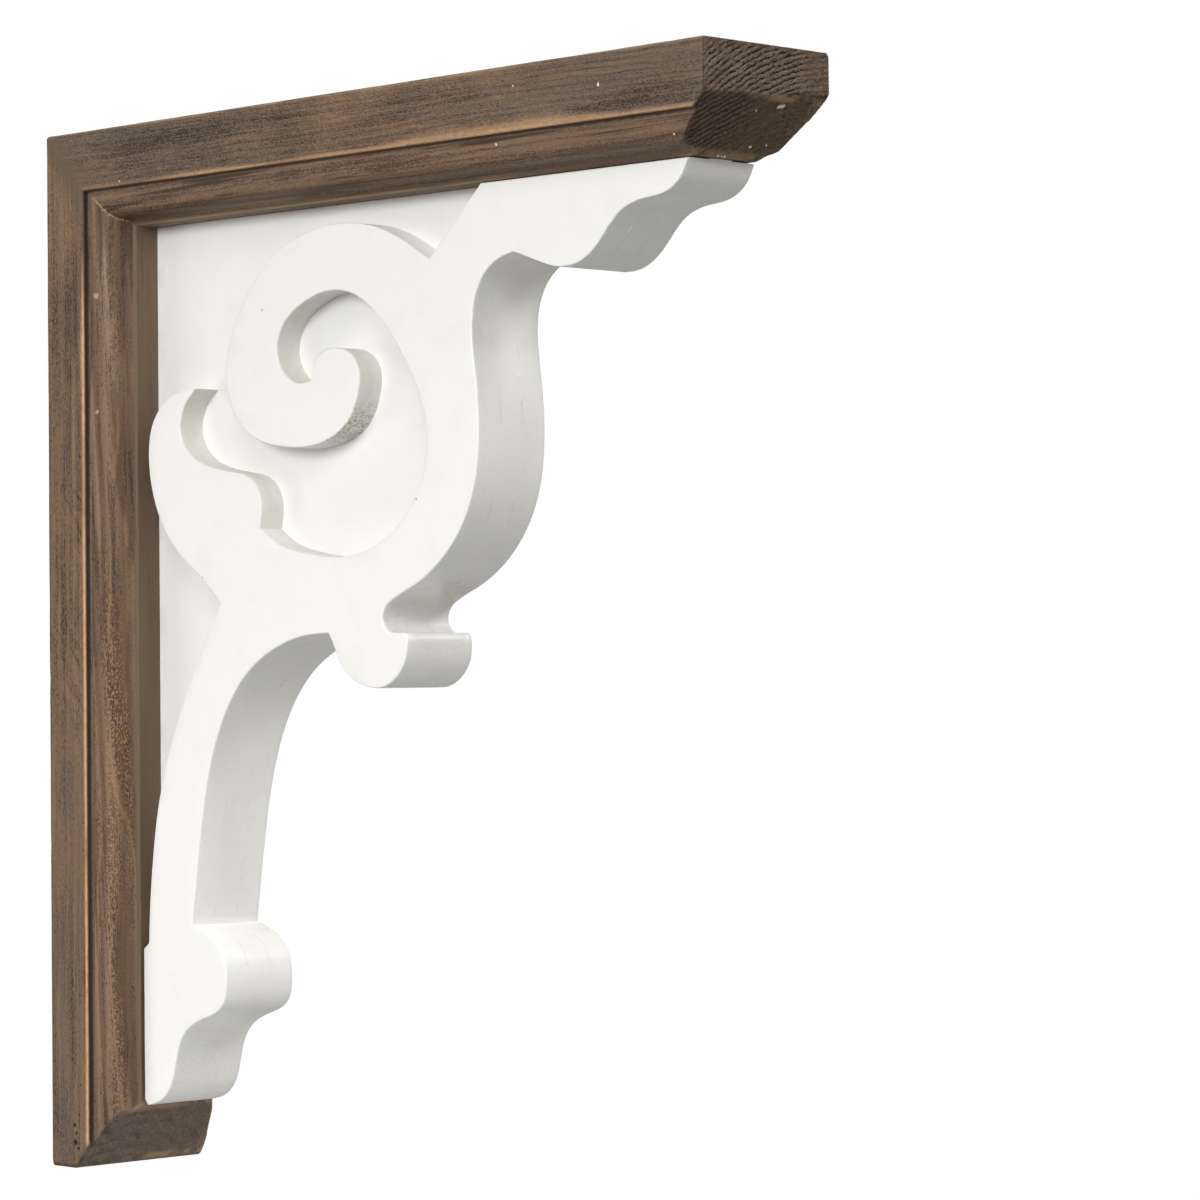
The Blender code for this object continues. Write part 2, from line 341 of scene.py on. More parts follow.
def years_from_pith(sums, wood, seed, pith_across, pith_depth, ring_spacing):
    """How many growth rings lie between the pith and a place in the wood, in mm along, across and deep."""
    wander = sums.parts(sums.noise(wood, seed, (0.009, 0.024, 0.024), output="Color"))
    place = sums.parts(wood)
    off_across = sums.minus(sums.line(wander["X"], 5.0, place["Y"]), pith_across)
    off_depth = sums.minus(sums.line(wander["Y"], 5.0, place["Z"]), pith_depth)
    radius = sums("SQRT", sums("ADD", sums.product(off_across, off_across),
                               sums.product(off_depth, off_depth)))
    ragged = sums.minus(sums.noise(wood, seed, (0.06, 0.45, 0.45), detail=5.0), 0.5)
    return sums.line(ragged, 1.1, sums("DIVIDE", radius, ring_spacing))


def from_mid_year(sums, years):
    """How far a place is from the middle of its ring, in years: 0 to 0.5."""
    return sums("ABSOLUTE", sums.minus(sums("FRACT", years), 0.5))


def brushed_out(sums, wood, seed, years):
    """Where brushing took the soft wood out of a cut end: along the rings in broken runs, off the rims."""
    place = sums.parts(wood)
    soft = sums.smooth(from_mid_year(sums, years), 0.28, 0.44)
    runs = sums.smooth(sums.noise(wood, sums("ADD", seed, 3.0), (0.3, 0.40, 0.40), detail=3.0), 0.36, 0.50)
    dotted = sums.smooth(sums.noise(wood, sums("ADD", seed, 4.0), (0.3, 1.3, 1.3), detail=2.0), 0.34, 0.50)
    near_rim = sums.smooth(place["Y"], -22.4, -21.2)
    far_rim = sums.smooth(place["Y"], 19.0, 8.0)
    square_part = sums.product(sums.smooth(place["Z"], 0.8, 1.6),
                               sums.smooth(place["Z"], SLANT_DEPTH + 0.4, SLANT_DEPTH - 1.0))
    slant_part = sums.product(sums.smooth(place["Z"], SLANT_DEPTH + 0.6, SLANT_DEPTH + 2.0), 0.9,
                              sums.smooth(place["Y"], 0.0, -7.0), sums.smooth(place["Z"], 27.0, 25.0))
    return sums.product(soft, runs, dotted, near_rim, far_rim, sums("ADD", square_part, slant_part))


def moulded_length_tree():
    """A length of moulding from half of its section: shaped, cut, weathered, and turned to where it goes."""
    tree = bpy.data.node_groups.new("moulded length", "GeometryNodeTree")
    tree_input(tree, "Half Section", "NodeSocketGeometry")
    for name, default in (("Length", 0.3), ("Square Cut", 0.012), ("Cut Run", 0.016), ("Kink Tilt", 0.0),
                          ("Sanded Round", 1.0 * MM), ("Pith Across", 30.0), ("Pith Depth", 40.0),
                          ("Ring Spacing", 2.4), ("End Groove", 0.3 * MM), ("Side Groove", 0.05 * MM),
                          ("Fibre Depth", 0.05 * MM), ("Dent Depth", 0.35 * MM), ("Seed", 0.0)):
        tree_input(tree, name, "NodeSocketFloat", default)
    for name, default in (("Rows", SECTION_ROWS), ("Columns", FACE_COLUMNS), ("Rings", RINGS_ALONG),
                          ("Sanded Rows", SANDED_ROWS)):
        tree_input(tree, name, "NodeSocketInt", default)
    for name in ("Start", "Along", "Outwards"):
        tree_input(tree, name, "NodeSocketVector")
    tree_input(tree, "Mirrored", "NodeSocketBool")
    tree_input(tree, "Finish", "NodeSocketMaterial")
    tree.interface.new_socket("Geometry", in_out="OUTPUT", socket_type="NodeSocketGeometry")
    given = tree.nodes.new("NodeGroupInput").outputs
    sums = Sums(tree)

    block = put_node(tree, "GeometryNodeMeshCube", {"Size": (1, 1, 1), "Vertices X": given["Rows"],
                                                    "Vertices Y": given["Columns"],
                                                    "Vertices Z": given["Rings"]})
    grid = sums.parts(put_node(tree, "GeometryNodeInputPosition").outputs[0])
    row_share = sums("ADD", grid["X"], 0.5)
    width_share = sums.product(grid["Y"], 2.0)
    length_share = sums("ADD", grid["Z"], 0.5)

    cutter = put_node(tree, "GeometryNodeMeshToCurve", {"Mesh": given["Half Section"]})
    sanded_point = put_node(tree, "GeometryNodeInputNamedAttribute", {"Name": "sanded"},
                            data_type="FLOAT_VECTOR")
    sample = put_node(tree, "GeometryNodeSampleCurve", mode="FACTOR", data_type="FLOAT_VECTOR", inputs={
        "Curves": cutter.outputs["Curve"], "Value": sanded_point.outputs["Attribute"], "Factor": row_share})
    sawn, sanded_off = sums.parts(sample.outputs["Position"]), sums.parts(sample.outputs["Value"])

    last = sums.minus(given["Rings"], 1.0)
    from_end = sums.product(sums.minus(1.0, length_share), last)
    turn = sums.product(sums.minus(1.0, sums("DIVIDE", from_end, given["Sanded Rows"]), clamp=True),
                        math.pi / 2)
    worn = sums.minus(1.0, sums("COSINE", turn))
    back = sums.product(given["Sanded Round"], sums.minus(1.0, sums("SINE", turn)))
    high, half_width = half_section[-1][0], max(y for x, y in half_section)
    depth = sums.line(sums.minus(sanded_off["X"], sawn["X"]), worn, sawn["X"])
    far_share = sums("GREATER_THAN", width_share, 0.0)
    sanded_side = sums.line(sums.minus(sanded_off["Z"], sanded_off["Y"]), far_share, sanded_off["Y"])
    tapered = sums.product(sums.smooth(from_end, *TAPER_RINGS), far_share, TAPER_SHARE)
    out_to = sums.line(sums.minus(sanded_side, sawn["Y"]), sums("MAXIMUM", worn, tapered), sawn["Y"])
    across = sums.product(width_share, out_to)

    square_cut = sums.minus(given["Square Cut"],
                            sums.product(given["Kink Tilt"], sums("DIVIDE", across, half_width)))
    slope = sums("DIVIDE", given["Cut Run"], sums.minus(high, square_cut))
    past = sums("SMOOTH_MAX", sums.minus(depth, square_cut), 0.0, KINK_ROUND)
    end = sums.minus(given["Length"], sums.product(past, slope))
    in_corner = sums.minus(CORNER_ROUND, sums("MINIMUM", depth, CORNER_ROUND))
    chord = sums("SQRT", sums.minus(CORNER_ROUND ** 2, sums.product(in_corner, in_corner)))
    start = sums("ADD", sums("MAXIMUM", depth, sums.minus(CORNER_ROUND, chord)), MITRE_HAIR)
    run = sums.minus(sums.minus(end, given["Sanded Round"]), start)
    rank = sums("DIVIDE", sums.minus(last, from_end), sums.minus(last, given["Sanded Rows"]), clamp=True)
    along = sums("ADD", sums.line(run, rank, start), sums.minus(given["Sanded Round"], back))

    def keep(geometry, name, value, kind="FLOAT"):
        """Stores a value on the mesh's points, for the finish."""
        made = put_node(tree, "GeometryNodeStoreNamedAttribute", {"Geometry": geometry, "Name": name},
                        data_type=kind, domain="POINT")
        tree.links.new(value, made.inputs["Value"])
        return made.outputs["Geometry"]

    def kept(name, kind="FLOAT"):
        return put_node(tree, "GeometryNodeInputNamedAttribute", {"Name": name},
                        data_type=kind).outputs["Attribute"]

    at_end = sums("LESS_THAN", from_end, 0.5)
    near_end = sums.minus(1.0, sums("DIVIDE", from_end, given["Sanded Rows"]), clamp=True)
    at_side = sums("GREATER_THAN", sums("ABSOLUTE", width_share), 0.999)
    off_mitre = sums("MULTIPLY", length_share, last, clamp=True)
    in_mm = sums.vectors("SCALE", sums.vector(along, across, depth), Scale=1 / MM)
    shape = keep(block.outputs["Mesh"], "wood", in_mm, "FLOAT_VECTOR")
    shape = keep(shape, "capped", at_end)
    shape = keep(shape, "cut_end", near_end)
    shape = keep(shape, "moulded", at_side)
    shape = keep(shape, "off_mitre", off_mitre)
    formed = put_node(tree, "GeometryNodeSetPosition",
                      {"Geometry": shape, "Position": sums.vector(depth, across, along)})

    wood = kept("wood", "FLOAT_VECTOR")
    place = sums.parts(wood)
    years = years_from_pith(sums, wood, given["Seed"], given["Pith Across"], given["Pith Depth"],
                            given["Ring Spacing"])
    cut_end, moulded = kept("capped"), kept("moulded")
    soft_wood = sums.smooth(from_mid_year(sums, years), 0.30, 0.46)
    fibres = sums.noise(wood, sums("ADD", given["Seed"], 7.0), (0.03, 1.1, 1.1), detail=3.0)
    cut = sums.product(brushed_out(sums, wood, given["Seed"], years), cut_end, given["End Groove"])
    cut = sums.line(sums.product(soft_wood, sums.minus(1.0, cut_end)), given["Side Groove"], cut)
    cut = sums.line(fibres, given["Fibre Depth"], cut)
    dents = sums.smooth(sums.noise(wood, sums("ADD", given["Seed"], 11.0), (0.16, 0.13, 0.13)), 0.58, 0.78)
    high_mm, half_width_mm = high / MM, half_width / MM
    back_arris = sums.product(moulded, sums.smooth(place["Z"], 1.6, 0.2))
    face_arris = sums.product(moulded, sums.smooth(place["Z"], high_mm - 0.6, high_mm))
    from_rim = sums.minus(half_width_mm, sums("ABSOLUTE", place["Y"]))
    end_arris = sums.product(cut_end, sums.smooth(from_rim, 2.6, 1.6))
    edges = sums("ADD", sums("ADD", back_arris, face_arris), end_arris)
    cut = sums.line(sums.product(dents, edges), given["Dent Depth"], cut)
    inwards = sums.vectors("SCALE", put_node(tree, "GeometryNodeInputNormal").outputs[0],
                           Scale=sums.product(cut, kept("off_mitre"), -1.0))
    weathered = put_node(tree, "GeometryNodeSetPosition", {"Geometry": formed.outputs["Geometry"],
                                                           "Offset": inwards})

    here = sums.parts(put_node(tree, "GeometryNodeInputPosition").outputs[0])
    spot = sums.vectors("SCALE", given["Outwards"], Scale=here["X"])
    on = sums.vectors("SCALE", given["Along"], Scale=here["Z"])
    for part in (on, sums.vector(0.0, here["Y"], 0.0), given["Start"]):
        spot = sums.vectors("ADD", spot, part)
    placed = put_node(tree, "GeometryNodeSetPosition",
                      {"Geometry": weathered.outputs["Geometry"], "Position": spot})
    turned = put_node(tree, "GeometryNodeFlipFaces", {"Mesh": placed.outputs["Geometry"],
                                                      "Selection": given["Mirrored"]})
    smooth = put_node(tree, "GeometryNodeSetShadeSmooth", {"Geometry": turned.outputs[0]})
    real = put_node(tree, "GeometryNodeRealizeInstances", {"Geometry": smooth.outputs[0]})
    finished = put_node(tree, "GeometryNodeSetMaterial",
                        {"Geometry": real.outputs[0], "Material": given["Finish"]})
    put_node(tree, "NodeGroupOutput", {"Geometry": finished.outputs[0]})
    return tree


def grown(name, mesh, tree, sizes):
    """A plain mesh object: what the tree makes of a mesh, with its named inputs set."""
    seed = bpy.data.objects.new("seed_" + name, mesh)
    bpy.context.scene.collection.objects.link(seed)
    modifier = seed.modifiers.new("shape", "NODES")
    modifier.node_group = tree
    sockets = {s.name: s.identifier for s in tree.interface.items_tree if s.in_out == "INPUT"}
    for label, value in sizes.items():
        modifier[sockets[label]] = value
    evaluated = seed.evaluated_get(bpy.context.evaluated_depsgraph_get())
    made = bpy.data.meshes.new_from_object(evaluated)
    made.name = name
    seed.modifiers.remove(modifier)
    bpy.data.objects.remove(seed)
    piece = bpy.data.objects.new(name, made)
    bpy.context.scene.collection.objects.link(piece)
    made.set_sharp_from_angle(angle=math.radians(SHARP_ANGLE))
    return piece


def tint(red, green, blue):
    """A colour given as it is read off a screen, 0 to 255."""
    return [((c / 255 + 0.055) / 1.055) ** 2.4 if c > 10 else c / 255 / 12.92 for c in (red, green,
                                                                                        blue)] + [1.0]


STAIN_DARK = tint(62, 46, 34)
STAIN_CORNER = tint(104, 88, 73)
STAIN_TAN = tint(146, 115, 84)
# The grey of the painted sheen, a highlight along the leg's round.
SHEEN_GREY = tint(152, 134, 118)
RUBBED_WOOD = tint(206, 162, 122)
# Light tan of worn edges. It is also the colour of the painted highlights on the face's arrises and on a
# free end's crease.
WORN_EDGE_AND_HIGHLIGHT = tint(160, 134, 104)
FACE_BROWN = tint(117, 99, 81)
QUIRK_DARK = tint(46, 33, 24)
END_DARK = tint(36, 27, 19)
END_LIGHT = tint(136, 122, 105)
YEAR_WIDTH = 4.6              # mm of the wood that show between two of the leg's light year lines
FIRST_YEAR = 5.7              # mm from the back to one of them, at the top
WHITE_SPECK = tint(235, 232, 224)


def stain_group():
    """Brown stain on softwood: streaks, ring lines, freckles, blotches, rubbed arrises and a dark quirk,
    with painted shade in the hollow and painted highlights on the leg's round, the face's arrises and a free
    end's crease.
    """
    tree = bpy.data.node_groups.new("weathered stain", "ShaderNodeTree")
    tree_input(tree, "Wood", "NodeSocketVector")
    for name in ("Brown", "Grey Brown", "Worked Brown", "Square End", "Slanted End"):
        tree_input(tree, name, "NodeSocketColor")
    for name, default in (("Cut End", 0.0), ("Seed", 0.0), ("Pith Across", 30.0), ("Pith Depth", 40.0),
                          ("Ring Spacing", 2.4), ("Grain Slope", 0.0), ("Ripple", 0.5), ("Freckles", 0.5),
                          ("Ring Lines", 0.5), ("Rub", 1.0), ("Rub Width", 1.2), ("Rub From", 0.0),
                          ("Broad From", 0.0), ("Broad To", 0.0), ("Face Edge Highlight", 0.3), ("Quirk", 0.7),
                          ("Worked Shade", 0.6), ("Years", 0.0), ("End Rings", 1.0), ("End Shade", 0.0)):
        tree_input(tree, name, "NodeSocketFloat", default)
    for name, kind in (("Color", "NodeSocketColor"), ("Roughness", "NodeSocketFloat"),
                       ("Height", "NodeSocketFloat")):
        tree.interface.new_socket(name, in_out="OUTPUT", socket_type=kind)
    given = tree.nodes.new("NodeGroupInput").outputs
    sums = Sums(tree)
    wood, first = given["Wood"], given["Seed"]
    place = sums.parts(wood)
    along, across, depth = place["X"], sums("ABSOLUTE", place["Y"]), place["Z"]
    flat_part = sums.smooth(depth, SHOULDER_DEPTH, BAND_DEPTH)
    face_part = sums.smooth(depth, FACE_DEPTH - 0.4, FACE_DEPTH)
    worked_part = sums.minus(1.0, flat_part)
    drift = sums.product(along, given["Grain Slope"], worked_part)
    grain = sums.vector(along, place["Y"], sums.minus(depth, drift))

    def layer(number, scales, detail=2.0, where=None):
        """One more noise, and how far it is from its middle."""
        return sums.minus(sums.noise(where or wood, sums("ADD", first, float(number)), scales, detail), 0.5)

    fibre = layer(1, (0.030, 2.2, 2.2), 3.0, grain)
    streak = layer(2, (0.010, 0.50, 0.50), 3.0, grain)
    fleck = layer(3, (0.15, 1.5, 1.5), where=grain)
    blotch = layer(4, (0.030, 0.09, 0.09), 3.0)
    cos40, sin40 = math.cos(math.radians(40)), math.sin(math.radians(40))
    down_ripple = sums("ADD", sums.product(along, cos40), sums.product(depth, sin40))
    over_ripple = sums.minus(sums.product(depth, cos40), sums.product(along, sin40))
    ripple = sums.minus(sums.noise(sums.vector(down_ripple, place["Y"], over_ripple),
                                   sums("ADD", first, 5.0), (0.10, 0.15, 0.75)), 0.5)
    grit = layer(6, (1.1, 2.8, 2.8))
    patches = sums.smooth(layer(7, (0.025, 0.05, 0.05)), -0.04, 0.14)
    from_mitre = sums.minus(along, depth)
    calm = sums.product(sums.line(sums.product(sums.smooth(from_mitre, 12.0, 0.0), flat_part), -0.65, 1.0),
                        sums.line(face_part, -0.72, 1.0))
    tone = sums.product(fibre, 0.70)
    tone = sums.line(streak, sums.line(worked_part, 0.80, 0.75), tone)
    tone = sums.line(fleck, 0.50, tone)
    tone = sums.line(blotch, 0.70, tone)
    tone = sums.line(grit, 1.50, tone)
    tone = sums.line(sums.product(ripple, given["Ripple"], flat_part, patches), 1.3, tone)
    tone = sums.product(tone, calm)
    greying = sums.smooth(layer(8, (0.012, 0.06, 0.06)), -0.10, 0.12)
    body = sums.blend(greying, given["Brown"], given["Grey Brown"])
    body = sums.blend(worked_part, body, given["Worked Brown"])
    body = sums.blend(face_part, body, FACE_BROWN)
    body = sums.blend(sums.product(worked_part, sums.smooth(along, 185.0, 245.0), given["End Shade"]), body,
                      STAIN_DARK)
    body = sums.blend(sums.product(sums.smooth(from_mitre, 11.0, 1.0), flat_part), body, STAIN_CORNER)
    dark_share = sums.line(worked_part, -0.22, 1.0)
    tan_share = sums.line(sums.smooth(along, 150.0, 230.0), -0.40, 0.85)

    off_face = sums.minus(1.0, face_part)
    # Painted shade: the moulding's hollow is darkened where shade falls in it. Dark grain strokes also run
    # over the worked part.
    hollow_shade = sums.product(sums.between(depth, 23.4, 27.7, 1.5), 0.8,
                             sums.smooth(layer(22, (0.012, 0.25, 0.25), where=grain), -0.16, 0.08))
    stroke = sums.product(sums.smooth(layer(23, (0.022, 0.50, 0.50), 3.0, grain), 0.02, 0.13), worked_part)
    hollow_shade_and_streaks = sums.product(sums.largest(hollow_shade, stroke), given["Worked Shade"], off_face)
    drifted = sums.parts(grain)["Z"]
    year = sums("FRACT", sums.line(layer(24, (0.010, 0.08, 0.08)), 0.7,
                                   sums("DIVIDE", sums.minus(drifted, FIRST_YEAR), YEAR_WIDTH)))
    late_wood = sums.product(sums.smooth(year, 0.02, 0.14), sums.smooth(year, 1.0, 0.30), worked_part,
                             off_face, given["Years"], 0.50)
    year_line = sums.product(sums.largest(sums.smooth(year, 0.035, 0.0), sums.smooth(year, 0.965, 1.0)),
                             worked_part, off_face, given["Years"], sums.smooth(along, 120.0, 230.0), 0.70)
    # Painted sheen: a broken grey highlight along the leg's round, where it would catch the light.
    painted_sheen = sums.product(sums.between(drifted, 19.4, 22.6, 1.5), sums.between(along, 22.0, 85.0, 20.0),
                         given["Years"], sums.line(fibre, 2.4, sums.line(grit, 1.6, 0.45), clamp=True))

    years = years_from_pith(sums, wood, first, given["Pith Across"], given["Pith Depth"],
                            given["Ring Spacing"])
    in_runs = sums.smooth(layer(9, (0.018, 0.20, 0.20), 3.0), -0.06, 0.10)
    ring_line = sums.product(sums.smooth(from_mid_year(sums, years), 0.10, 0.02), in_runs, calm,
                             given["Ring Lines"])
    late_band = sums.product(sums.smooth(from_mid_year(sums, years), 0.30, 0.50), 0.40, calm,
                             sums.smooth(layer(10, (0.010, 0.12, 0.12)), -0.10, 0.14))

    dense = sums.smooth(layer(11, (0.013, 0.16, 0.16), where=grain), -0.16, 0.12)
    lit = sums.line(sums.between(depth, 22.2, 27.4, 1.2), 0.75, 0.25)
    speckle = sums.smooth(layer(12, (1.3, 2.4, 2.4)), 0.00, 0.10)
    freckles = sums.product(speckle, dense, sums.between(depth, SHOULDER_DEPTH - 0.5, FACE_DEPTH, 0.8), lit,
                            given["Freckles"])

    broad = sums.product(sums.smooth(along, given["Broad From"], sums("ADD", given["Broad From"], 30.0)),
                         sums.smooth(along, sums("ADD", given["Broad To"], 30.0), given["Broad To"]))
    rub_reach = sums.product(given["Rub Width"], sums.line(layer(13, (0.022, 0.0, 0.0), 3.0), 2.4, 1.0))
    rub_reach = sums.line(broad, 2.6, rub_reach)
    to_quirk = sums.minus(BAND_DEPTH, depth)
    rub = sums.minus(1.0, sums("DIVIDE", to_quirk, sums("MAXIMUM", rub_reach, 0.4)), clamp=True)
    rub = sums.product(sums("POWER", rub, 1.3), sums.smooth(to_quirk, -0.25, -0.05), given["Rub"],
                       sums.smooth(layer(14, (0.016, 0.0, 0.0)), -0.20, 0.02),
                       sums.line(layer(15, (0.5, 1.2, 1.2)), 1.4, 0.95),
                       sums.smooth(along, given["Rub From"], sums("ADD", given["Rub From"], 25.0)))
    off_end = sums.minus(1.0, given["Cut End"])
    back_rub = sums.product(sums.smooth(depth, 1.1, 0.3),
                            sums.smooth(layer(16, (0.03, 0.5, 0.5)), -0.02, 0.12), 0.4)
    # Painted highlight: a light line along the arris between the hollow and the face, where the rounded edge
    # catches the light.
    at_face_edge = sums.smooth(sums("ABSOLUTE", sums.minus(across, FACE_EDGE)), 0.8, 0.1)
    face_edge_highlight = sums.product(at_face_edge, sums.smooth(depth, FACE_DEPTH - 0.6, FACE_DEPTH + 0.2),
                            sums.smooth(layer(17, (0.02, 0.2, 0.2)), -0.14, 0.06), given["Face Edge Highlight"])
    ragged_mitre = sums.line(layer(18, (1.3, 1.3, 1.3), 4.0), 4.0, 0.3)
    mitre_rub = sums.product(sums.smooth(sums.minus(from_mitre, ragged_mitre), 0.25, -0.15),
                             sums.smooth(depth, SHOULDER_DEPTH, SHOULDER_DEPTH + 1.0),
                             sums.smooth(depth, FACE_DEPTH + 0.4, FACE_DEPTH - 2.0), 0.95)
    # Real wear on the back edge and at the mitre, together with the painted highlight on the face's arris,
    # in one light colour.
    edge_wear_and_highlight = sums.product(sums.largest(back_rub, face_edge_highlight, mitre_rub), off_end)

    quirk = sums.product(sums.smooth(depth, BAND_DEPTH - 0.02, BAND_DEPTH + 0.12),
                         sums.smooth(depth, BAND_DEPTH + 0.9, BAND_DEPTH + 0.3),
                         sums.smooth(across, 23.9, 22.9))

    hollowed = sums.product(given["Cut End"], given["End Rings"], brushed_out(sums, wood, first, years))
    slanted = sums.smooth(depth, SLANT_DEPTH - 0.5, SLANT_DEPTH + 0.9)
    cos30, sin30 = math.cos(math.radians(30)), math.sin(math.radians(30))
    by_rings = sums.vector(sums.minus(sums.product(place["Y"], cos30), sums.product(depth, sin30)),
                           sums("ADD", sums.product(place["Y"], sin30), sums.product(depth, cos30)), 0.0)
    pits = sums.product(layer(19, (0.55, 2.6, 1.0), 3.0, by_rings), given["End Rings"])
    grains = layer(25, (0.8, 2.4, 2.4), 3.0)
    dust = layer(26, (0.12, 0.5, 1.0), 4.0, by_rings)
    # The crease where a free end turns from square to slanted: a worn light line together with a painted
    # highlight on the kink.
    crease = sums.product(sums.between(depth, SLANT_DEPTH - 1.5, SLANT_DEPTH + 1.2, 1.1),
                          sums.smooth(place["Y"], -14.0, 8.0),
                          sums.smooth(layer(20, (0.2, 0.25, 0.25), 3.0), -0.14, 0.04), 0.80)
    toe_edge = sums.product(sums.smooth(depth, 25.6, 27.2),
                            sums.smooth(layer(21, (0.2, 0.15, 0.15)), -0.16, 0.04), 0.6)
    far_edge = sums.product(sums.smooth(place["Y"], 17.0, 21.0), slanted, sums.smooth(grains, -0.20, 0.20),
                            0.60)
    grainy = sums.line(slanted, 0.30, 0.55)
    near_part = sums.minus(1.0, sums.product(slanted, sums.smooth(place["Y"], -7.0, 2.0), 0.8))
    faint_rings = sums.product(sums.smooth(from_mid_year(sums, years), 0.18, 0.44), near_part,
                               sums.line(given["End Rings"], sums.line(slanted, 0.26, 0.34), 0.10))
    rim_line = sums.product(sums.between(given["Cut End"], 0.25, 0.95, 0.25), 0.45,
                            sums.smooth(depth, 25.5, 23.0))
    end_colour = sums.over(
        sums.blend(slanted, given["Square End"], given["Slanted End"]),
        (sums.product(sums.smooth(dust, 0.02, 0.22), 0.45), END_LIGHT),
        (sums.product(sums.smooth(dust, -0.02, -0.22), 0.55), END_DARK),
        (sums.product(sums.smooth(pits, -0.02, -0.16), 0.85), END_DARK),
        (sums.product(sums.smooth(grains, 0.03, 0.20), grainy), END_LIGHT),
        (sums.product(sums.smooth(grains, -0.03, -0.20), 0.80), END_DARK),
        (sums.largest(hollowed, faint_rings), END_DARK),
        (sums.largest(crease, toe_edge, far_edge), WORN_EDGE_AND_HIGHLIGHT),
        (rim_line, END_DARK))
    colour = sums.over(
        body,
        (sums.product(sums.smooth(tone, 0.0, -0.36), dark_share), STAIN_DARK),
        (sums.product(sums.smooth(tone, 0.0, 0.40), tan_share), STAIN_TAN),
        (hollow_shade_and_streaks, STAIN_DARK),
        (sums.product(face_part, sums.smooth(along, 40.0, 110.0), 0.28), STAIN_DARK),
        (late_wood, STAIN_DARK),
        (year_line, STAIN_TAN),
        (painted_sheen, SHEEN_GREY),
        (late_band, STAIN_DARK),
        (sums.product(ring_line, 0.75), STAIN_TAN),
        (freckles, STAIN_TAN),
        (rub, RUBBED_WOOD),
        (edge_wear_and_highlight, WORN_EDGE_AND_HIGHLIGHT),
        (sums.product(quirk, given["Quirk"]), QUIRK_DARK),
        (sums.smooth(given["Cut End"], 0.15, 0.60), end_colour))

    roughness = sums.line(fleck, 0.35, sums.line(greying, -0.05, 0.60))
    height = sums.line(fibre, 0.06 * MM, sums.product(fleck, 0.05 * MM))
    height = sums.line(grit, 0.05 * MM, height)
    height = sums.minus(height, sums.product(hollowed, 0.22 * MM))
    on_cut = sums.line(pits, 0.22 * MM, sums.product(grains, 0.16 * MM))
    height = sums.line(on_cut, given["Cut End"], height)
    put_node(tree, "NodeGroupOutput", {"Color": colour, "Roughness": roughness, "Height": height})
    return tree


def stain_material(name, settings, specks):
    """The stain with its own values, and its specks: place in the wood in mm, half width, colour."""
    material = bpy.data.materials.new(name)
    material.use_nodes = True
    tree = material.node_tree
    sums = Sums(tree)
    shader = tree.nodes["Principled BSDF"]
    wood = put_node(tree, "ShaderNodeAttribute", attribute_name="wood").outputs["Vector"]
    cut_end = put_node(tree, "ShaderNodeAttribute", attribute_name="cut_end").outputs["Fac"]
    stain = put_node(tree, "ShaderNodeGroup", {"Wood": wood, "Cut End": cut_end, **settings},
                     node_tree=weathered_stain)
    colour = stain.outputs["Color"]
    lumps = sums.noise(wood, 1.0, (1.1, 1.1, 1.1), detail=4.0, output="Color")
    shaken = sums.vectors("MULTIPLY_ADD", lumps, (1.2, 1.2, 1.2), wood)
    for where, half_width, shade in specks:
        middle = [c + 0.6 for c in where]
        spot = sums.smooth(sums.apart(shaken, middle), half_width + 0.15, half_width - 0.15)
        colour = sums.blend(spot, colour, shade)
    relief = put_node(tree, "ShaderNodeBump", {"Height": stain.outputs["Height"], "Distance": 1.0})
    shader.inputs["Specular IOR Level"].default_value = 0.2
    tree.links.new(colour, shader.inputs["Base Color"])
    tree.links.new(stain.outputs["Roughness"], shader.inputs["Roughness"])
    tree.links.new(relief.outputs["Normal"], shader.inputs["Normal"])
    return material


TOP = cad_box[1].z
LEG_GRAIN = {"Seed": 2.0, "Pith Across": -6.0, "Pith Depth": -22.0, "Ring Spacing": 3.2}
ARM_GRAIN = {"Seed": 5.0, "Pith Across": 33.0, "Pith Depth": 84.0, "Ring Spacing": 1.5}
PALE_SPOT = tint(172, 142, 112)
BLACK_SPECK = tint(34, 29, 24)
CREAM_CHIP = tint(226, 220, 186)
LEG_SPECKS = (((48.6, -21.5, 20.6), 0.9, PALE_SPOT), ((82.7, -21.6, 20.8), 0.7, PALE_SPOT),
              ((292.3, -24, 11.6), 0.7, BLACK_SPECK), ((297.3, -24, 12.0), 0.9, BLACK_SPECK),
              ((294.6, -24, 12.4), 0.45, BLACK_SPECK), ((289.2, -24, 13.8), 0.4, BLACK_SPECK),
              ((280.5, -24, 14.6), 0.35, BLACK_SPECK), ((299.0, -24, 13.4), 0.5, BLACK_SPECK))
ARM_SPECKS = (((233.5, -24, 8.6), 0.4, WHITE_SPECK), ((201.7, -24, 5.8), 0.25, WHITE_SPECK),
              ((192.4, -21.5, 20.2), 0.3, WHITE_SPECK), ((257, -20.5, 23.5), 0.3, WHITE_SPECK),
              ((35.2, -24, 16.3), 0.25, WHITE_SPECK), ((268.3, 6.9, 15.4), 0.6, CREAM_CHIP),
              ((268.4, 7.7, 15.1), 0.7, CREAM_CHIP), ((268.4, 8.5, 14.8), 0.55, CREAM_CHIP),
              ((267.1, -0.4, 16.7), 0.35, WHITE_SPECK), ((259.1, 5.9, 24.8), 0.35, WHITE_SPECK),
              ((259.8, 11.3, 24.0), 0.3, WHITE_SPECK), ((256.5, -3.5, 27.6), 0.4, WHITE_SPECK),
              ((256.4, -2.2, 27.7), 0.3, WHITE_SPECK), ((256.3, -1.0, 27.6), 0.4, WHITE_SPECK))
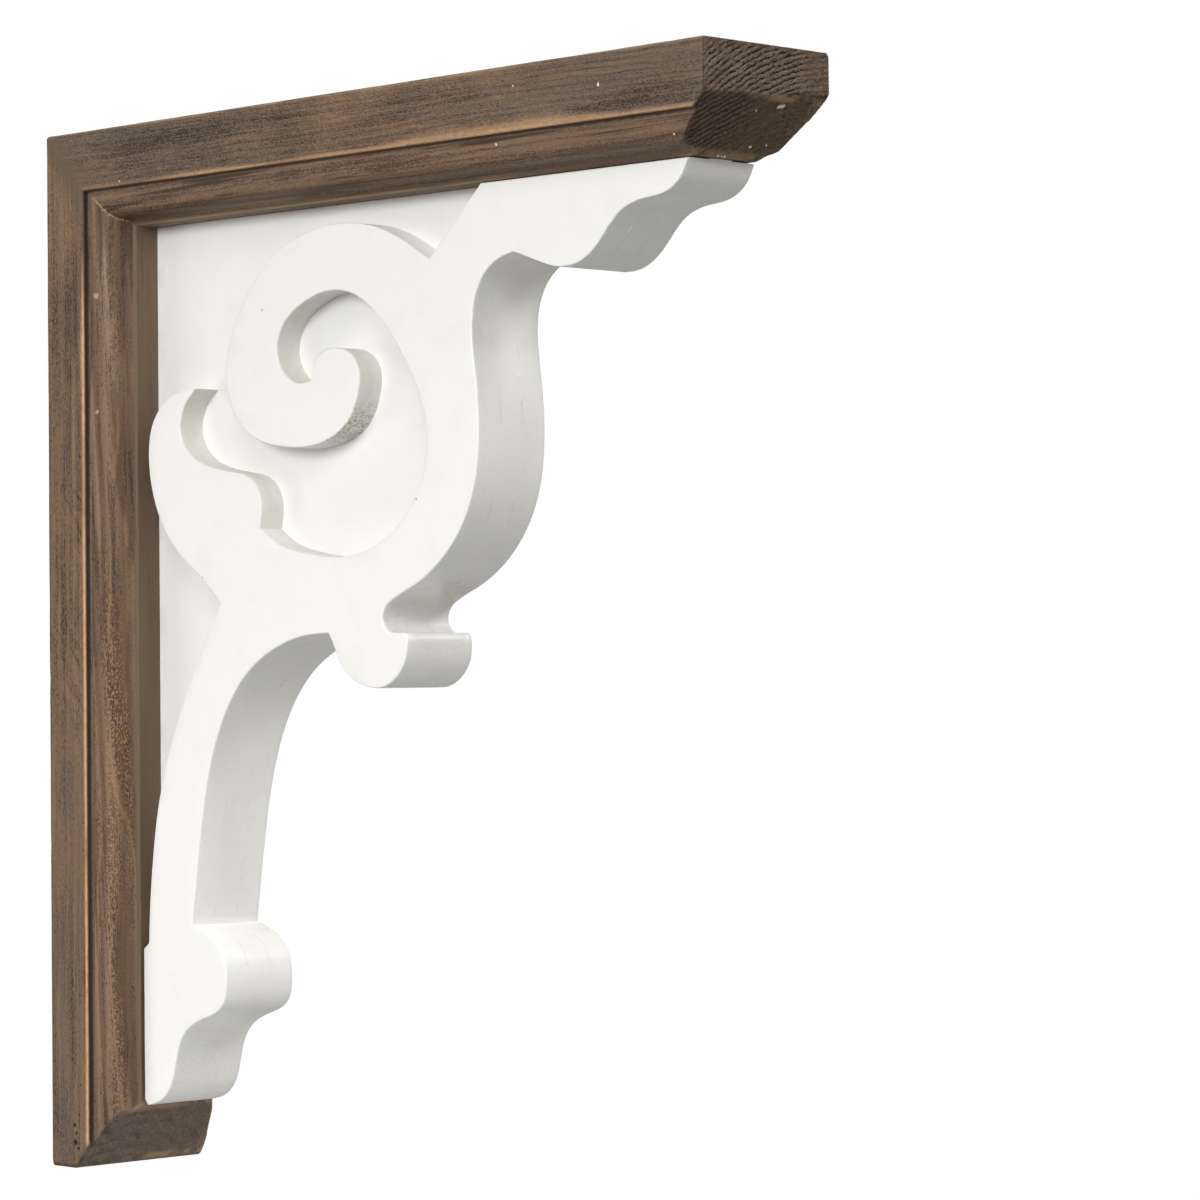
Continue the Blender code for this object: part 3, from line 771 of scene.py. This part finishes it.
LEG_STAIN = {"Brown": tint(120, 98, 77), "Grey Brown": tint(104, 88, 74), "Worked Brown": tint(129, 107, 90),
             "Square End": tint(96, 83, 71), "Slanted End": tint(108, 93, 80), "Grain Slope": 0.055,
             "Ripple": 1.0,
             "Freckles": 1.0, "Ring Lines": 0.8, "Rub": 1.05, "Rub Width": 1.1, "Rub From": 30.0,
             "Face Edge Highlight": 0.05,
             "Quirk": 1.0, "Worked Shade": 0.5, "Years": 1.0, "End Rings": 0.2}
ARM_STAIN = {"Brown": tint(103, 87, 73), "Grey Brown": tint(98, 86, 76), "Worked Brown": tint(118, 97, 80),
             "Square End": tint(98, 80, 66), "Slanted End": tint(102, 87, 67), "Ripple": 0.3,
             "Freckles": 0.5,
             "Ring Lines": 0.6, "Rub": 0.75, "Rub Width": 1.4, "Rub From": 5.0, "Broad From": 140.0,
             "Broad To": 215.0, "Face Edge Highlight": 0.7, "Quirk": 0.7, "Worked Shade": 0.9, "End Rings": 1.0,
             "End Shade": 0.30}
moulded_length = moulded_length_tree()
weathered_stain = stain_group()
leg = grown("leg_wood", section_mesh, moulded_length, {
    "Length": TOP - cad_box[0].z, "Square Cut": 11.9 * MM, "Cut Run": 18.8 * MM, "Sanded Round": 2.3 * MM,
    "End Groove": 0.03 * MM,
    "Start": (0, 0, TOP), "Along": (0, 0, -1), "Outwards": (1, 0, 0), "Mirrored": True,
    "Finish": stain_material("stained leg", {**LEG_GRAIN, **LEG_STAIN}, LEG_SPECKS), **LEG_GRAIN})
arm = grown("arm_wood", section_mesh, moulded_length, {
    "Length": cad_box[1].x, "Square Cut": 12.8 * MM, "Cut Run": 15.0 * MM, "Kink Tilt": 1.4 * MM,
    "End Groove": 0.30 * MM, "Start": (0, 0, TOP), "Along": (1, 0, 0), "Outwards": (0, 0, -1),
    "Mirrored": False,
    "Finish": stain_material("stained arm", {**ARM_GRAIN, **ARM_STAIN}, ARM_SPECKS), **ARM_GRAIN})
for piece, node in ((leg, "leg_moulding"), (arm, "arm_moulding")):
    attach(piece, "root")
    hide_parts(node)

# The scroll. Three boards are glued side by side: a plain one in the frame's corner, and on each side of it
# one whose lobe, spiral and recess are cut right through. They are painted white together, with soft rims,
# thin grainy paint and painted shade on the sawn walls of the recess, painted shadow on the spiral's floor,
# and the boards' edges a hair apart.
BOARD_SPACING = 0.6 * MM
RIM_ROUND = 0.45 * MM
GLUED_RIM = 0.01 * MM
WALL_ROWS = 9
RIM_ROWS = 4
GLUE_OVERLAP = 0.02 * MM
SAWING = 0.02 * MM            # how far the boards' edges miss one another
SAWING_SCALE = 45.0           # lumps to a metre of that
RAISED_GRAIN = 0.03 * MM
FACE_GRID = 4 * MM
CLOSED_IN = 62 * MM           # a wall is closed in where another wall stands before it, nearer than this
LOOKS = (-0.7, -0.35, 0.0, 0.35, 0.7)    # radians off square at which a wall looks for another
SHUT_BLUR = 12                # passes that even out how closed in it is
OPEN_REACH = (22 * MM, 30 * MM)          # of the hook's tip: inside this nothing counts as closed in
MITER_LEAST = 0.45
SOFTNESS_SCALE = 60
GRAIN_SCALE = 550
EDGE_ANGLE = 35               # degrees between a board's faces that are shaded as an edge
HOOK_TIP = (0.1467, 0.0030)   # X and Z of the hook's upper corner, the far one of which is well rounded
HOOK_TIP_ROUND = 1.1 * MM
FITTED_GAP = 0.05 * MM        # the panel's glued edges lie this near the mouldings' faces once they are home
NICK = (0.2244, 0.1094)
NICK_DEPTH = 0.7 * MM
NICK_REACH = 1.0 * MM


def sawn_edge(name, inner):
    """The outline of a board in X and Z, in order, from the edge of its face at that Y."""
    bm = bmesh.new()
    bm.from_mesh(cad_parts[name].data)
    bmesh.ops.remove_doubles(bm, verts=bm.verts, dist=0.01 * MM)
    face = {f for f in bm.faces if all(abs(v.co.y - inner) < 0.02 * MM for v in f.verts)}
    rim = [e for e in bm.edges if sum(f in face for f in e.link_faces) == 1]
    beside = {}
    for edge in rim:
        a, b = edge.verts
        beside.setdefault(a, []).append(b)
        beside.setdefault(b, []).append(a)
    loop = [rim[0].verts[0]]
    before = None
    while True:
        a, b = beside[loop[-1]]
        following = b if a is before else a
        if following is loop[0]:
            break
        before = loop[-1]
        loop.append(following)
    points = np.array([(v.co.x, v.co.z) for v in loop])
    bm.free()
    area = np.sum(points[:, 0] * np.roll(points[:, 1], -1) - np.roll(points[:, 0], -1) * points[:, 1])
    return points if area > 0 else points[::-1]


def inwards_of(outline):
    """At each point of an outline, the way in, longer at a corner so that a border keeps its width."""
    before = outline - np.roll(outline, 1, axis=0)
    ahead = np.roll(outline, -1, axis=0) - outline
    before /= np.linalg.norm(before, axis=1)[:, None]
    ahead /= np.linalg.norm(ahead, axis=1)[:, None]
    inwards = np.stack([-(before + ahead)[:, 1], (before + ahead)[:, 0]], 1)
    inwards /= np.linalg.norm(inwards, axis=1)[:, None]
    miter = 1 / np.maximum(np.sum(inwards * np.stack([-ahead[:, 1], ahead[:, 0]], 1), axis=1), MITER_LEAST)
    return inwards * miter[:, None]


def closed_in(outline):
    """How far the walls before each point of an outline shut it in: 1 in a narrow slot, 0 in the open."""
    out = -inwards_of(outline)
    out /= np.linalg.norm(out, axis=1)[:, None]
    start, stop = outline, np.roll(outline, -1, axis=0)
    along = stop - start
    shut = np.zeros(len(outline))
    for i, (place, way) in enumerate(zip(outline, out)):
        found = []
        for swing in LOOKS:
            turned = (way[0] * math.cos(swing) - way[1] * math.sin(swing),
                      way[0] * math.sin(swing) + way[1] * math.cos(swing))
            across = turned[0] * along[:, 1] - turned[1] * along[:, 0]
            across[np.abs(across) < 1e-12] = 1e-12
            gap = start - place
            reach = (gap[:, 0] * along[:, 1] - gap[:, 1] * along[:, 0]) / across
            share = (gap[:, 0] * turned[1] - gap[:, 1] * turned[0]) / across
            hits = reach[(reach > 0.5 * MM) & (share >= 0) & (share <= 1)]
            found.append(hits.min() if len(hits) else 1.0)
        shut[i] = np.mean(np.array(found) < CLOSED_IN)
    for _ in range(SHUT_BLUR):
        shut = (np.roll(shut, 1) + shut + np.roll(shut, -1)) / 3
    from_hook = np.linalg.norm(outline - np.array(HOOK_TIP), axis=1)
    return shut * np.clip((from_hook - OPEN_REACH[0]) / (OPEN_REACH[1] - OPEN_REACH[0]), 0, 1)


def board(name, outline, inner, outer, material, rim_round, tip_round):
    """A board between two Y values, sawn by hand, with its outline's rim softened on the outer side."""
    inwards = inwards_of(outline)
    side = math.copysign(1, outer - inner)
    sawn = np.array([noise.noise(Vector((x * SAWING_SCALE, 0.0, z * SAWING_SCALE))) for x, z in outline])
    to_nick = np.linalg.norm(outline - np.array(NICK), axis=1)
    off = SAWING * np.abs(sawn) + NICK_DEPTH * np.exp(-(to_nick / NICK_REACH) ** 2) * (outer < 0)
    outline = outline + inwards * off[:, None]
    at_tip = np.exp(-(np.linalg.norm(outline - np.array(HOOK_TIP), axis=1) / (5 * MM)) ** 2)
    softness = np.array([noise.noise(Vector((x * SOFTNESS_SCALE, 3.7, z * SOFTNESS_SCALE))) for x,
                         z in outline])
    rim = rim_round * (1 + 0.35 * softness) + tip_round * at_tip
    shut = closed_in(outline)
    rows = [(j / WALL_ROWS, 0.0, 0.0) for j in range(WALL_ROWS + 1)]
    for j in range(1, RIM_ROWS + 1):
        turn = math.radians(90 * j / RIM_ROWS)
        rows.append((1.0, math.sin(turn), 1 - math.cos(turn)))
    bm = bmesh.new()
    wall_layer = bm.verts.layers.float.new("wall")
    shut_layer = bm.verts.layers.float.new("closed_in")
    rings = []
    for share, outwards, inset in rows:
        ring = []
        for (x, z), (way_x, way_z), round_off, closed in zip(outline, inwards, rim, shut):
            y = inner + (outer - side * round_off - inner) * share + side * round_off * outwards
            grain = RAISED_GRAIN * noise.noise(Vector((x, y, z)) * GRAIN_SCALE) * (inset == 0)
            pulled = round_off * inset + grain + RAISED_GRAIN
            vertex = bm.verts.new((x + way_x * pulled, y, z + way_z * pulled))
            vertex[wall_layer] = 1.0 - inset
            vertex[shut_layer] = closed
            ring.append(vertex)
        rings.append(ring)
    count = len(outline)
    for near, far in zip(rings, rings[1:]):
        for i in range(count):
            j = (i + 1) % count
            bm.faces.new((near[i], near[j], far[j], far[i]))
    for ring in (rings[0], rings[-1]):
        flat = [Vector((v.co.x, v.co.z)) for v in ring]
        edges = [(i, (i + 1) % count) for i in range(count)]
        low, high = np.min(flat, axis=0), np.max(flat, axis=0)
        grid = [Vector((x, z)) for x in np.arange(low[0], high[0], FACE_GRID)
                for z in np.arange(low[1], high[1], FACE_GRID)]
        found, _, faces, _, _, _ = delaunay_2d_cdt(flat + grid, edges, [], 1, 1e-7)
        corners = {i: ring[i] for i in range(count)}
        y = ring[0].co.y
        for face in faces:
            for i in face:
                if i not in corners:
                    corners[i] = bm.verts.new((found[i].x, y, found[i].y))
            bm.faces.new([corners[i] for i in face])
    bmesh.ops.recalc_face_normals(bm, faces=bm.faces)
    if bm.calc_volume(signed=True) < 0:
        bmesh.ops.reverse_faces(bm, faces=bm.faces)
    mesh = bpy.data.meshes.new(name)
    bm.to_mesh(mesh)
    bm.free()
    mesh.materials.append(material)
    mesh.shade_smooth()
    mesh.set_sharp_from_angle(angle=math.radians(EDGE_ANGLE))
    piece = bpy.data.objects.new(name, mesh)
    bpy.context.scene.collection.objects.link(piece)
    return piece


PAINT_WHITE = (0.87, 0.86, 0.82, 1)
PAINT_SHADE = (0.845, 0.835, 0.795, 1)
# Warm grey of thin paint on sawn walls. It is also used for painted shade on walls that other walls shut in.
THIN_PAINT_AND_SHADE = (0.67, 0.655, 0.60, 1)
# The grey of the painted shadow on the spiral's floor.
SPIRAL_SHADOW_GREY = (0.72, 0.72, 0.70, 1)
COVE_WARM = (0.80, 0.76, 0.69, 1)
WALL_PATCH_COLOUR = tint(132, 118, 98)
JOINT_SHADE = (0.66, 0.65, 0.62, 1)
PAINT_SPECK = tint(168, 162, 150)
PAINT_SPECKS = (((79.5, -12.6, 105.5), 0.45), ((85.6, -12.6, 95.9), 0.35), ((58.2, -12.6, 20.4), 0.3),
                ((131.0, -12.6, 60.3), 0.3), ((150.2, -12.6, 40.0), 0.35))
DARK_WALL_PATCHES = (((121.0, -8.0, 56.5), 15.0), ((60.9, -8.0, 77.9), 6.0), ((75.3, -8.0, 43.1), 6.0))
BRUSHED_COVE = (143.0, 0.0, 9.0)
SPIRAL_FLOOR = (101.0, -4.1, 95.0)

paint = bpy.data.materials.new("white paint")
paint.use_nodes = True
tree = paint.node_tree
sums = Sums(tree)
here = sums.vectors("SCALE", put_node(tree, "ShaderNodeTexCoord").outputs["Object"], Scale=1 / MM)
height_in, depth_in = sums.parts(here)["Z"], sums.parts(here)["Y"]
on_wall = put_node(tree, "ShaderNodeAttribute", attribute_name="wall").outputs["Fac"]
shut_in = put_node(tree, "ShaderNodeAttribute", attribute_name="closed_in").outputs["Fac"]


def paint_layer(number, scales, detail=2.0):
    return sums.minus(sums.noise(here, 30.0 + number, scales, detail), 0.5)


peel = paint_layer(1, (0.9, 0.9, 0.9))
mottle = paint_layer(2, (0.10, 0.10, 0.10), 4.0)
sawn_lines = paint_layer(3, (1.1, 0.05, 1.1), 3.0)
raised = paint_layer(4, (0.75, 0.6, 0.75), 3.0)
roller = paint_layer(5, (0.35, 0.35, 0.35), 3.0)
fine = paint_layer(6, (1.6, 1.0, 1.6), 4.0)
strokes = paint_layer(8, (0.12, 1.7, 0.12), 3.0)
colour = sums.blend(sums.smooth(mottle, -0.02, 0.22), PAINT_WHITE, PAINT_SHADE)
# Painted shadow: a grey patch on the spiral's floor, under the arch of its wall.
painted_spiral_shadow = sums.product(sums.smooth(sums.apart(here, SPIRAL_FLOOR), 24.0, 8.0),
                           sums.smooth(depth_in, -4.6, -4.3), 0.65)
colour = sums.blend(painted_spiral_shadow, colour, SPIRAL_SHADOW_GREY)
# Thin paint and painted shade: a wall is darker and warmer the more other walls close it in, as shade
# gathers in the recess.
thin_paint_and_shade = sums.product(on_wall, sums.smooth(shut_in, 0.25, 0.75))
thin_and_shade_share = sums("MULTIPLY", thin_paint_and_shade, sums.line(roller, 0.8, 0.8), clamp=True)
colour = sums.blend(thin_and_shade_share, colour, THIN_PAINT_AND_SHADE)
colour = sums.blend(sums.product(on_wall, sums.smooth(fine, 0.02, 0.25), 0.30), colour, THIN_PAINT_AND_SHADE)
from_cove = sums.apart(here, BRUSHED_COVE)
in_cove = sums.product(on_wall, sums.smooth(from_cove, 19.0, 9.0))
colour = sums.blend(sums.product(in_cove, sums.smooth(height_in, 6.0, 15.0), sums.line(strokes, 1.5, 0.55)),
                    colour, COVE_WARM)
# Darker, grainy patches on the walls at these places.
for where, reach in DARK_WALL_PATCHES:
    dark_patch = sums.product(on_wall, sums.smooth(sums.apart(here, where), reach, reach * 0.4),
                         sums.smooth(fine, -0.10, 0.16), 0.75)
    colour = sums.blend(dark_patch, colour, WALL_PATCH_COLOUR)
at_joint = sums.smooth(sums("ABSOLUTE", sums.minus(sums("ABSOLUTE", depth_in), 4.1)), 0.22, 0.04)
joint = sums.product(at_joint, on_wall, sums.smooth(paint_layer(9, (0.07, 0.0, 0.07), 3.0), -0.02, 0.12))
colour = sums.blend(sums.product(joint, 0.5), colour, JOINT_SHADE)
for where, half_width in PAINT_SPECKS:
    spot = sums.smooth(sums.apart(here, where), half_width + 0.1, half_width - 0.1)
    colour = sums.blend(sums.product(spot, 0.8), colour, PAINT_SPECK)
near_wall = sums.product(on_wall, sums.smooth(depth_in, -2.0, -7.0))
nibs = sums.product(sums.smooth(paint_layer(10, (0.9, 0.9, 0.9)), 0.16, 0.26),
                    sums.smooth(height_in, -80.0, -95.0))
height = sums.product(peel, sums.line(near_wall, 0.060 * MM, 0.012 * MM))
height = sums.line(nibs, 0.10 * MM, height)
height = sums.line(sums.product(sawn_lines, on_wall), 0.045 * MM, height)
height = sums.line(sums.product(raised, on_wall), 0.075 * MM, height)
height = sums.line(sums.product(fine, on_wall), 0.030 * MM, height)
height = sums.line(sums.product(strokes, in_cove), 0.070 * MM, height)
height = sums.line(joint, 0.05 * MM, height)
relief = put_node(tree, "ShaderNodeBump", {"Height": height, "Distance": 1.0})
shader = tree.nodes["Principled BSDF"]
tree.links.new(colour, shader.inputs["Base Color"])
roughness = sums.line(thin_paint_and_shade, 0.20, sums.line(roller, 0.15, 0.40))
tree.links.new(sums.line(in_cove, -0.16, roughness), shader.inputs["Roughness"])
tree.links.new(relief.outputs["Normal"], shader.inputs["Normal"])

LEG_FACE, ARM_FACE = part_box("leg_moulding")[1].x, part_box("arm_moulding")[0].z
panel_low, panel_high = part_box("centre_panel")
panel_outline = sawn_edge("centre_panel", panel_low.y)
panel_outline[:, 0] = np.where(panel_outline[:, 0] < panel_low.x + FITTED_GAP, LEG_FACE, panel_outline[:, 0])
panel_outline[:, 1] = np.where(panel_outline[:, 1] > panel_high.z - FITTED_GAP, ARM_FACE,
                               panel_outline[:, 1])
panel_edge = worn_outline(panel_outline, BOARD_SPACING)
boards = [board("panel_board", panel_edge, panel_low.y, panel_high.y, paint, GLUED_RIM, 0.0)]
for name, node, side, tip_round in (("scroll_board_left", "scroll_left", -1, 0.0),
                                    ("scroll_board_right", "scroll_right", 1, HOOK_TIP_ROUND)):
    low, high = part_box(node)
    inner, outer = (high.y, low.y) if side < 0 else (low.y, high.y)
    edge = worn_outline(sawn_edge(node, inner), BOARD_SPACING)
    boards.append(board(name, edge, side * (panel_high.y - GLUE_OVERLAP), outer, paint, RIM_ROUND,
                        tip_round))
for piece, node in zip(boards, ("centre_panel", "scroll_left", "scroll_right")):
    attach(piece, "root")
    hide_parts(node)
